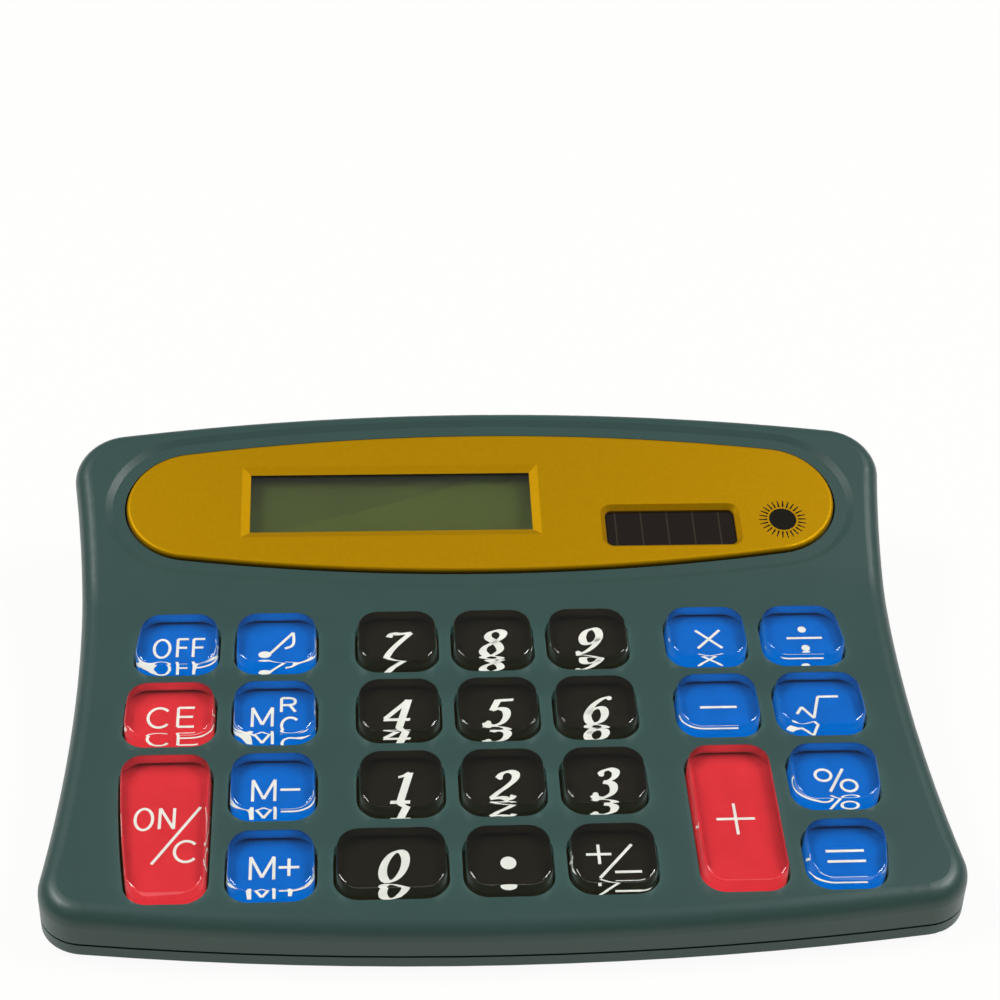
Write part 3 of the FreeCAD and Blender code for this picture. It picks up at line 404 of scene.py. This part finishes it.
# Each digit and sign is a list of strokes in a square of side 1. A six is a nine turned upside down.
nine = [(0.08, 0.07), (0.26, 0.12), (0.44, 0.34), (0.52, 0.62), (0.46, 0.87), (0.32, 0.97), (0.16, 0.88),
        (0.11, 0.68), (0.18, 0.48), (0.32, 0.43), (0.45, 0.52), (0.50, 0.64)]
digits = {
    "0": [ellipse(0.31, 0.5, 0.23, 0.45)],
    "1": [[(0.36, 0.97), (0.36, 0.04)], [(0.14, 0.83), (0.26, 0.88), (0.36, 0.97)],
          [(0.14, 0.035), (0.58, 0.035)]],
    "2": [[(0.10, 0.74), (0.17, 0.89), (0.32, 0.95), (0.47, 0.87), (0.49, 0.70), (0.38, 0.50), (0.20, 0.28),
           (0.07, 0.09)], [(0.06, 0.08), (0.30, 0.11), (0.50, 0.06), (0.57, 0.18)]],
    "3": [[(0.11, 0.80), (0.18, 0.91), (0.32, 0.96), (0.46, 0.88), (0.47, 0.73), (0.38, 0.61),
           (0.24, 0.55)],
          [(0.24, 0.55), (0.42, 0.50), (0.51, 0.36), (0.49, 0.18), (0.34, 0.05), (0.18, 0.05),
           (0.08, 0.15)]],
    "4": [[(0.45, 0.96), (0.05, 0.33)], [(0.03, 0.30), (0.64, 0.30)], [(0.45, 0.98), (0.45, 0.02)]],
    "5": [[(0.17, 0.90), (0.55, 0.92)], [(0.19, 0.92), (0.13, 0.56)],
          [(0.13, 0.56), (0.28, 0.62), (0.44, 0.55), (0.50, 0.35), (0.43, 0.14), (0.26, 0.04), (0.10, 0.08),
           (0.07, 0.15)]],
    "6": [[(0.62 - x, 1.02 - y) for x, y in nine]],
    "7": [[(0.07, 0.77), (0.12, 0.90), (0.32, 0.89), (0.57, 0.93)],
          [(0.57, 0.93), (0.38, 0.60), (0.24, 0.30), (0.18, 0.03)]],
    "8": [[(0.31, 0.96), (0.15, 0.88), (0.13, 0.72), (0.28, 0.58), (0.44, 0.43), (0.51, 0.23), (0.32, 0.04),
           (0.12, 0.18), (0.14, 0.37), (0.32, 0.54), (0.46, 0.70), (0.47, 0.87), (0.31, 0.96)]],
    "9": [nine],
}
signs = {
    "O": [ellipse(0.5, 0.5, 0.5, 0.5)],
    "C": [ellipse(0.54, 0.5, 0.54, 0.5, 42, 318)],
    "F": [[(0, 0), (0, 1)], [(0, 1), (1, 1)], [(0, 0.52), (0.88, 0.52)]],
    "E": [[(0, 0), (0, 1)], [(0, 1), (1, 1)], [(0, 0.52), (0.92, 0.52)], [(0, 0), (1, 0)]],
    "M": [[(0, 0), (0, 1)], [(0, 1), (0.5, 0.1)], [(0.5, 0.1), (1, 1)], [(1, 1), (1, 0)]],
    "N": [[(0, 0), (0, 1)], [(0, 1), (1, 0)], [(1, 0), (1, 1)]],
    "R": [[(0, 0), (0, 1)],
          [(0, 1), (0.6, 1), (0.9, 0.91), (0.98, 0.75), (0.9, 0.58), (0.6, 0.5), (0, 0.5)],
          [(0.58, 0.5), (1, 0)]],
    "plus": [[(0, 0.5), (1, 0.5)], [(0.5, 0), (0.5, 1)]],
    "minus": [[(0, 0.5), (1, 0.5)]],
    "times": [[(0, 0), (1, 1)], [(0, 1), (1, 0)]],
    "equals": [[(0, 0), (1, 0)], [(0, 1), (1, 1)]],
    "slash": [[(0, 0), (1, 1)]],
    "root": [[(0, 0.2), (0.13, 0.52)], [(0.13, 0.52), (0.36, 0)], [(0.36, 0), (0.54, 1)],
             [(0.54, 1), (1, 1)]],
    "percent": [ellipse(0.2, 0.73, 0.2, 0.25), ellipse(0.8, 0.25, 0.2, 0.25), [(0.3, 0), (0.72, 1)]],
    "note": [[(0.2, 0.03), (0.91, 1)], [(0.91, 1), (0.93, 0.6), (0.87, 0.38), (0.66, 0.27)]],
}
# Each legend: sign, left, bottom, width and height in millimetres from the middle of the key.
legends = {
    "key_off": [("O", -4.3, -2.8, 3.1, 4.9), ("F", 0.3, -2.7, 2.1, 4.9), ("F", 3.4, -2.7, 2.2, 4.9)],
    "key_sound": [("note", -2.6, -2.4, 6.4, 6.0)],
    "key_times": [("times", -1.7, -2.5, 4.9, 5.0)],
    "key_divide": [("minus", -3.25, -2.7, 7.2, 5.2)],
    "key_clear_entry": [("C", -4.4, -2.7, 4.0, 5.0), ("E", 1.3, -2.6, 3.1, 4.9)],
    "key_memory_recall": [("M", -4.3, -2.9, 3.8, 4.9), ("R", 1.2, 0.8, 2.7, 3.6),
                          ("C", 1.3, -4.8, 3.1, 4.1)],
    "key_minus": [("minus", -3.25, -2.4, 7.2, 5.0)],
    "key_root": [("root", -4.3, -3.2, 8.8, 5.6)],
    "key_on_clear": [("O", -5.25, 0.1, 3.2, 5.0), ("N", -0.75, 0.25, 2.6, 4.9),
                     ("slash", -1.7, -7.9, 8.3, 13.2), ("C", 2.3, -7.5, 3.9, 4.8)],
    "key_memory_minus": [("M", -3.75, -2.9, 4.1, 5.2), ("minus", 1.35, -2.8, 3.7, 5.2)],
    "key_plus": [("plus", -3.6, -3.8, 7.2, 7.4)],
    "key_percent": [("percent", -3.3, -3.3, 7.6, 5.6)],
    "key_memory_plus": [("M", -3.7, -2.6, 4.2, 5.2), ("plus", 1.35, -1.9, 3.7, 4.0)],
    "key_sign": [("plus", -4.7, -0.7, 4.6, 4.5), ("slash", -2.6, -3.9, 6.4, 7.6),
                 ("minus", 0.2, -5.1, 4.9, 5.0)],
    "key_equals": [("equals", -4.3, -1.3, 7.1, 2.4)],
}
legend_back, outer_shift, ball_radius, dot_steps = 0.55, 0.3, 0.55, 28
# Four digits are printed further left on their keys than the others.
digit_shift = {"key_7": -0.6, "key_4": -0.7, "key_1": -0.2, "key_8": -0.2}
slant, thick, thin, nib_turn, even_stroke, legend_rise = 0.27, 0.185, 0.07, 0.35, 0.56, 0.03
# Each stroke lies a little above the last one, so that no two of them share a plane.
ink_step = 0.002
# A path with more points than dense_path is smooth already.
curve_steps, dense_path = 6, 20


def smooth_line(path):
    """More points along a path, on a smooth curve through the given ones."""
    if len(path) < 3 or len(path) > dense_path:
        return path
    closed = path[0] == path[-1]
    line = []
    for index in range(len(path) - 1):
        before = path[index - 1] if index else (path[-2] if closed else path[0])
        after = path[index + 2] if index + 2 < len(path) else (path[1] if closed else path[-1])
        for step in range(curve_steps):
            t = step / curve_steps
            line.append(tuple(0.5 * (2 * b + (c - a) * t + (2 * a - 5 * b + 4 * c - d) * t * t
                                     + (3 * b - a - 3 * c + d) * t ** 3)
                              for a, b, c, d in zip(before, path[index], path[index + 1], after)))
    return line + [path[-1]]


def brush(path, width_of):
    """Left and right edge points of a stroke along a path."""
    closed = math.dist(path[0], path[-1]) < 1e-6
    left, right = [], []
    for index, (x, y) in enumerate(path):
        before = path[index - 1] if index else (path[-2] if closed else path[0])
        after = path[index + 1] if index + 1 < len(path) else (path[1] if closed else path[-1])
        angle = math.atan2(after[1] - before[1], after[0] - before[0])
        half = width_of(angle) / 2
        left.append((x - half * math.sin(angle), y + half * math.cos(angle)))
        right.append((x + half * math.sin(angle), y - half * math.cos(angle)))
    return left, right


digit_height, digit_width, digit_left, digit_bottom = 7.6, 8.3, -2.1, -4.0


def digit_point(x, y):
    """A point of a digit, slanted, in millimetres from the middle of the key."""
    return digit_left + digit_width * x + digit_height * slant * (y - 0.5), digit_bottom + digit_height * y


def nib(angle):
    """Stroke width of a broad pen for the way the stroke runs."""
    return math.hypot(thick * math.sin(angle - nib_turn), thin * math.cos(angle - nib_turn))


def legend_strokes(name):
    """Every stroke of a key's legend in millimetres, as pairs of edge lines."""
    strokes = []
    for path in digits.get(name.removeprefix("key_"), ()):
        strokes.append([[digit_point(x, y) for x, y in edge] for edge in brush(smooth_line(path), nib)])
    for sign, left, bottom, width, height in legends.get(name, ()):
        for path in signs[sign]:
            line = [(left + width * x, bottom + height * y) for x, y in smooth_line(path)]
            strokes.append(brush(line, lambda angle: even_stroke))
    return strokes


# Dots of the legends: place, half width and half height in millimetres. Digits end in small balls.
dots = {"key_point": [(0.0, 0.0, 1.45, 1.45)], "key_sound": [(-2.3, -2.4, 1.25, 0.9)],
        "key_divide": [(0.2, 2.3, 0.85, 0.85), (0.2, -2.9, 0.85, 0.85)]}
for digit, ends in {"2": [(0.14, 0.76)], "3": [(0.15, 0.80), (0.13, 0.15)], "5": [(0.12, 0.14)],
                    "6": [(0.51, 0.92)], "9": [(0.11, 0.10)]}.items():
    dots["key_" + digit] = [(*digit_point(x, y), ball_radius, ball_radius) for x, y in ends]

for name in dict.fromkeys(sum(key_rows, ())):
    column, first, last = key_places(name)
    colour_name = "red" if name in red_keys else "black" if name in black_keys else "blue"
    cap = key_mesh(name, inks[colour_name])
    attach(cap, name)
    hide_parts(name)
    middle_x = column_x[column]
    if name == "key_0":
        middle_x -= zero_extra / 2
    if column in outer_columns:
        middle_x += math.copysign(outer_shift, middle_x)
    middle_x += digit_shift.get(name, 0.0)
    middle_v = -(first + last) / 2 * row_pitch + legend_back
    ink_level = flange_bottom + legend_rise
    points, faces = [], []
    for left, right in legend_strokes(name):
        start = len(points)
        points += [(middle_x + x, middle_v + v, ink_level) for x, v in left + right]
        ink_level += ink_step
        count = len(left)
        for index in range(start, start + count - 1):
            faces.append((index, index + count, index + count + 1, index + 1))
    for x, v, half_width, half_height in dots.get(name, ()):
        start = len(points)
        for step in range(dot_steps):
            angle = 2 * math.pi * step / dot_steps
            points.append((middle_x + x + half_width * math.cos(angle),
                           middle_v + v + half_height * math.sin(angle), ink_level))
        ink_level += ink_step
        faces.append(tuple(range(start, start + dot_steps)))
    legend = make_piece(name + "_legend", points, faces, (inks["white"],), smooth=False, frame_of=deck)
    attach(legend, name)

# Upper case: deck and display hood in one moulding, with the key openings and the dish round the panel.
# The same ABS as the lower case, from the same batch.
dress("upper_case", moulded_abs)

# Display: a liquid crystal cell between two sheets of glass, behind a clear acrylic sheet.
# The olive reflector is a film on the back of the rear glass, so it lies deep in the window.
cell_glass, tree, shader = new_material("display_glass", "F4F8F2", {
    "Roughness": 0.0, "IOR": 1.5, "Transmission Weight": 1.0, "Specular IOR Level": 0.2})
let_lamps_through(tree, shader)
reflector, tree, shader = new_material("lcd_reflector_film", "3D4420", {
    "Roughness": 0.5, "Specular IOR Level": 0.0})
drift(tree, shader, ("3A411E", "414823"), 20.0)
dress("lcd_cell", cell_glass)
nodes["lcd_cell"].data.materials.append(reflector)
hood_origin, hood_tilt = (0, 0.01820129, 0.01957632), 15.0
hood = Matrix.Translation(hood_origin) @ Matrix.Rotation(math.radians(hood_tilt), 4, "X")
slope_up = hood.to_3x3() @ Vector((0, 0, 1))
facing_back = -0.9
for polygon in nodes["lcd_cell"].data.polygons:
    polygon.material_index = 1 if polygon.normal.dot(slope_up) < facing_back else 0
clear_sheet, tree, shader = new_material("acrylic_sheet_coated", "FAFCFA", {
    "Roughness": 0.0, "IOR": 1.49, "Transmission Weight": 1.0, "Specular IOR Level": 0.2})
let_lamps_through(tree, shader)
dress("display_window", clear_sheet)

# Solar cell: amorphous silicon strips on a small glass plate, joined in a row.
# Dark brown with thin paler scribe lines between the strips.
strip_pitch, scribe_width = 5.5, 0.35
solar_film, tree, shader = new_material("amorphous_silicon_glass", "241E1A", {
    "Roughness": 0.12, "Specular IOR Level": 0.3})
place = add(tree, "ShaderNodeTexCoord")
split = add(tree, "ShaderNodeSeparateXYZ", links={"Vector": place.outputs["Object"]})
strip = add(tree, "ShaderNodeMath", {1: strip_pitch / 1000}, {0: split.outputs["X"]}, operation="MODULO")
scribe = add(tree, "ShaderNodeMath", {1: scribe_width / 1000}, {0: strip.outputs[0]},
             operation="LESS_THAN")
silicon = add(tree, "ShaderNodeMix", {6: linear("241E1A"), 7: linear("3A322A")}, {0: scribe.outputs[0]},
              data_type="RGBA")
tree.links.new(silicon.outputs[2], shader.inputs["Base Color"])
dress("solar_cell", solar_film)

# Display panel: a long moulded plate, sprayed with gold lacquer and glued into the dish.
# Fine metal flakes in the lacquer give a satin gold with a soft broad highlight.
gold_lacquer, tree, shader = new_material("sprayed_gold_lacquer", "BF9007", {
    "Metallic": 0.5, "Roughness": 0.52, "Specular Tint": linear("E0A810")})
drift(tree, shader, ("B98A05", "C59609"), 0.9)
grain(tree, shader, 0.4, 0.004)
dress("display_panel", gold_lacquer)

# Ledge round the panel: a thin flat frame in the dish of the upper case, with a narrow channel along the
# panel.
# The same ABS; the channel's floor and inner side are black, as painted shade of the gap round the panel.
panel_t, panel_half_height, panel_end_x, panel_end_radius, panel_radius = 23.4, 18.37, 60.6, 14.0, 436.36
dish_floor, ledge_top, channel_width, ledge_reach = -1.3, -0.65, 0.4, 2.97
ledge_foot, ledge_lip, ledge_round, floor_gap, panel_gap, channel_floor_rise = 1.5, 0.1, 0.12, 0.015, 0.05, 0.06
side_steps, end_steps = 12, 24


def panel_ring(offset, w):
    """Outline of the display panel in the hood plane, moved outward by offset, at height w."""
    lean = math.atan2(panel_end_x, panel_radius - panel_half_height)
    ring = []
    for side in (1, -1):
        for step in range(2 * side_steps + 1):
            angle = lean * (step / side_steps - 1)
            reach = (panel_radius + offset) * math.cos(angle) + panel_half_height - panel_radius
            ring.append((side * (panel_radius + offset) * math.sin(angle), panel_t + side * reach))
        for step in range(1, end_steps):
            angle = math.pi / 2 - lean - (math.pi - 2 * lean) * step / end_steps
            ring.append((side * (panel_end_x + (panel_end_radius + offset) * math.cos(angle)),
                         panel_t + side * (panel_end_radius + offset) * math.sin(angle)))
    return [(x, t, w) for x, t in ring]


# Black, dull: painted shade in the gap round the panel.
painted_gap_shade, tree, shader = new_material("painted_gap_shade_black", "14140F", {
    "Roughness": 0.55, "Specular IOR Level": 0.2})
drift(tree, shader, ("11110C", "191913"), 2.0)
section = [(ledge_reach, ledge_top - ledge_lip), (ledge_foot, dish_floor + floor_gap),
           (panel_gap, dish_floor + floor_gap), (panel_gap, dish_floor + channel_floor_rise),
           (channel_width, dish_floor + channel_floor_rise), (channel_width, ledge_top - ledge_round),
           (channel_width + ledge_round / 3, ledge_top - ledge_round / 4),
           (channel_width + ledge_round, ledge_top), (ledge_reach, ledge_top)]
points, faces = [], []
for offset, w in section:
    points += panel_ring(offset, w)
size = len(points) // len(section)
for level in range(len(section)):
    for index in range(size):
        a, b = level * size + index, level * size + (index + 1) % size
        up = (level + 1) % len(section) * size - level * size
        faces.append((a, b, b + up, a + up))
# Black covers the channel's floor and both its sides as painted shade of the gap; the rest is ABS.
indices = [0] * (2 * size) + [1] * (3 * size) + [0] * (4 * size)
ledge = make_piece("panel_ledge", points, faces, (moulded_abs, painted_gap_shade), indices, smooth=False,
                   frame_of=hood)
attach(ledge, "case")

# Sun sign beside the solar window: a disc with a ring of short rays.
# Pad-printed in black on the gold lacquer.
sun_x, sun_t, sun_radius, ray_start, ray_end, ray_count, panel_rise = 63.0, 17.4, 2.9, 3.3, 5.0, 26, 0.2
disc_steps, ray_half_width, ray_taper, ink_film = 40, 0.2, 0.5, 0.02
pad_ink, tree, shader = new_material("pad_print_black", "17150E", {
    "Roughness": 0.7, "Specular IOR Level": 0.1})
drift(tree, shader, ("151309", "1B1912"), 1.0)
middle = Vector((sun_x, sun_t, panel_rise + ink_film))
points = []
for step in range(disc_steps):
    angle = 2 * math.pi * step / disc_steps
    points.append(middle + Vector((math.cos(angle), math.sin(angle), 0)) * sun_radius)
faces = [tuple(range(disc_steps))]
for ray in range(ray_count):
    angle = 2 * math.pi * ray / ray_count
    way = Vector((math.cos(angle), math.sin(angle), 0))
    side = Vector((-way.y, way.x, 0)) * ray_half_width
    start = len(points)
    points += [middle + way * ray_start - side, middle + way * ray_end - side * ray_taper,
               middle + way * ray_end + side * ray_taper, middle + way * ray_start + side]
    faces.append((start, start + 1, start + 2, start + 3))
sun = make_piece("sun_sign", points, faces, (pad_ink,), smooth=False, frame_of=hood)
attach(sun, "case")

# Screws: six from below into the upper case and six that hold the board, all self-tapping.
# Steel, cold-headed with a cross recess and zinc plated.
zinc_steel, tree, shader = new_material("zinc_plated_steel", "A4A8AC", {"Metallic": 1.0, "Roughness": 0.28})
drift(tree, shader, ("9A9EA2", "B0B4B6"), 1.2)


def screw_mesh(diameter, length, head, head_height):
    """Points and faces of a screw pointing up from its seat, with a domed head and a cross recess."""
    steps, rings = 48, 14
    arm, half_slot, recess_depth = 0.32 * head, 0.07 * head, 0.55 * head_height
    thread_pitch, thread_start, plain_length, tip_length, tip_radius = 0.8, 0.3, 1.0, 0.7, 0.05
    root = 0.42 * diameter
    points, faces = [], []
    for ring in range(rings + 1):
        radius = max(head / 2 * ring / rings, axis_radius)
        for step in range(steps):
            angle = 2 * math.pi * step / steps
            x, y = radius * math.cos(angle), radius * math.sin(angle)
            z = -head_height + 0.5 * head_height * (radius / head * 2) ** 4
            if (abs(x) < half_slot and abs(y) < arm) or (abs(y) < half_slot and abs(x) < arm):
                z += recess_depth
            points.append((x, y, z))
    profile = [(head / 2, -0.3 * head_height), (head / 2, 0.0), (diameter / 2, 0.0)]
    turns = int(length / thread_pitch)
    pitch = (length - plain_length) / turns
    for turn in range(turns):
        z = thread_start + turn * pitch
        profile += [(root, z), (diameter / 2, z + pitch / 2)]
    profile += [(root, length - tip_length), (tip_radius, length)]
    for radius, z in profile:
        for step in range(steps):
            angle = 2 * math.pi * step / steps
            points.append((radius * math.cos(angle), radius * math.sin(angle), z))
    for ring in range(rings + len(profile)):
        for step in range(steps):
            a, b = ring * steps + step, ring * steps + (step + 1) % steps
            faces.append((a, a + steps, b + steps, b))
    return points, faces


def fit_screws(name, places, sizes, frame_of):
    """All screws of one kind as one piece in place of the plain ones."""
    points, faces = [], []
    for x, y, z in places:
        made, walls = screw_mesh(*sizes)
        start = len(points)
        points += [(x + px, y + py, z + pz) for px, py, pz in made]
        faces += [tuple(index + start for index in face) for face in walls]
    piece = make_piece(name + "_cross", points, faces, (zinc_steel,), frame_of=frame_of)
    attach(piece, "case")
    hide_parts(name)


# Posts: place and top. Screws: diameter, length, head diameter and head height.
case_posts, screw_seat = ((77.5, -50.603, 4.5), (76.2, 2.901, 8.0), (79.5, 50.403, 12.0)), 2.0
case_places = [(side * x, y, top - screw_seat) for x, y, top in case_posts for side in (-1, 1)]
fit_screws("case_screws", case_places, (2.6, 5.6, 4.6, 1.4), None)
boss_x, back_strip, board_bottom = 30.9, 11.35, -7.1
board_places = [(side * boss_x, -row * row_pitch, board_bottom) for side in (-1, 1) for row in (0, 2)]
board_places += [(side * outer_pitch, back_strip, board_bottom) for side in (-1, 1)]
fit_screws("board_screws", board_places, (1.8, 4.0, 3.6, 1.1), deck)

# Feet: four rubber discs glued into shallow pockets of the tray.
# Moulded rubber, matt black.
foot_rubber, tree, shader = new_material("moulded_rubber", "1E1E1E", {"Roughness": 0.75})
drift(tree, shader, ("1A1A1A", "242424"), 1.5)
grain(tree, shader, 0.5, 0.02)
dress("rubber_feet", foot_rubber)

# Studio: a pale floor, two soft boxes left and right, and a dim white surround.
# The floor is plain white card, which the camera sees as a white background.
floor_reach, backdrop_share, surround = 4, 0.94, 0.14
floor_mesh = bpy.data.meshes.new("floor")
corners = [(x * floor_reach, y * floor_reach, 0) for x, y in ((-1, -1), (1, -1), (1, 1), (-1, 1))]
floor_mesh.from_pydata(corners, [], [(0, 1, 2, 3)])
floor = bpy.data.objects.new("floor", floor_mesh)
bpy.context.collection.objects.link(floor)
white_card, tree, shader = new_material("white_card", "FBF4E0", {
    "Roughness": 0.9, "Specular IOR Level": 0.0})
path = add(tree, "ShaderNodeLightPath")
glow = add(tree, "ShaderNodeEmission", {"Color": (1, 1, 1, 1), "Strength": 1.0})
mirrored = add(tree, "ShaderNodeMath", links={0: path.outputs["Is Glossy Ray"],
                                              1: path.outputs["Is Transmission Ray"]}, operation="MAXIMUM")
looked_at = add(tree, "ShaderNodeMath", links={0: path.outputs["Is Camera Ray"], 1: mirrored.outputs[0]},
                operation="MAXIMUM")
seen = add(tree, "ShaderNodeMath", {1: backdrop_share}, {0: looked_at.outputs[0]}, operation="MULTIPLY")
lit = add(tree, "ShaderNodeMixShader", links={0: seen.outputs[0], 1: shader.outputs[0], 2: glow.outputs[0]})
tree.links.new(lit.outputs[0], tree.nodes["Material Output"].inputs["Surface"])
floor_mesh.materials.append(white_card)
world = bpy.data.worlds.new("studio")
bpy.context.scene.world = world
world.use_nodes = True
world.node_tree.nodes["Background"].inputs["Color"].default_value = (1, 1, 1, 1)
world.node_tree.nodes["Background"].inputs["Strength"].default_value = surround
lamp_aim = Vector((0, 0, 0.02))


def soft_box(name, place, width, height, power):
    """A long area lamp that looks at the calculator."""
    lamp = bpy.data.lights.new(name, "AREA")
    lamp.shape = "RECTANGLE"
    lamp.size, lamp.size_y = width, height
    lamp.energy = power
    box = bpy.data.objects.new(name, lamp)
    box.location = place
    box.rotation_euler = (lamp_aim - Vector(place)).to_track_quat("-Z", "Y").to_euler()
    bpy.context.collection.objects.link(box)


for side, x in (("left", -0.75), ("right", 0.75)):
    soft_box("soft_box_" + side, (x, 0.12, 1.00), 0.60, 0.25, 8.7)

# Camera: at the height and turn that the object is seen from, with a long lens.
camera_place = (-0.0270, -0.3445, 0.3034)
camera_data = bpy.data.cameras.new("camera")
camera_data.lens = 81.2
camera_data.sensor_width = 36.0
camera = bpy.data.objects.new("camera", camera_data)
bpy.context.collection.objects.link(camera)
yaw, pitch, roll = math.radians(4.53), math.radians(35.68), math.radians(2.01)
ahead = Vector((math.sin(yaw) * math.cos(pitch), math.cos(yaw) * math.cos(pitch), -math.sin(pitch)))
level = Vector((math.cos(yaw), -math.sin(yaw), 0))
upright = level.cross(ahead)
right = level * math.cos(roll) + upright * math.sin(roll)
above = upright * math.cos(roll) - level * math.sin(roll)
camera.matrix_world = Matrix.Translation(camera_place) @ Matrix(
    (right, above, -ahead)).transposed().to_4x4()
bpy.context.scene.camera = camera
bpy.context.scene.view_settings.view_transform = "Standard"
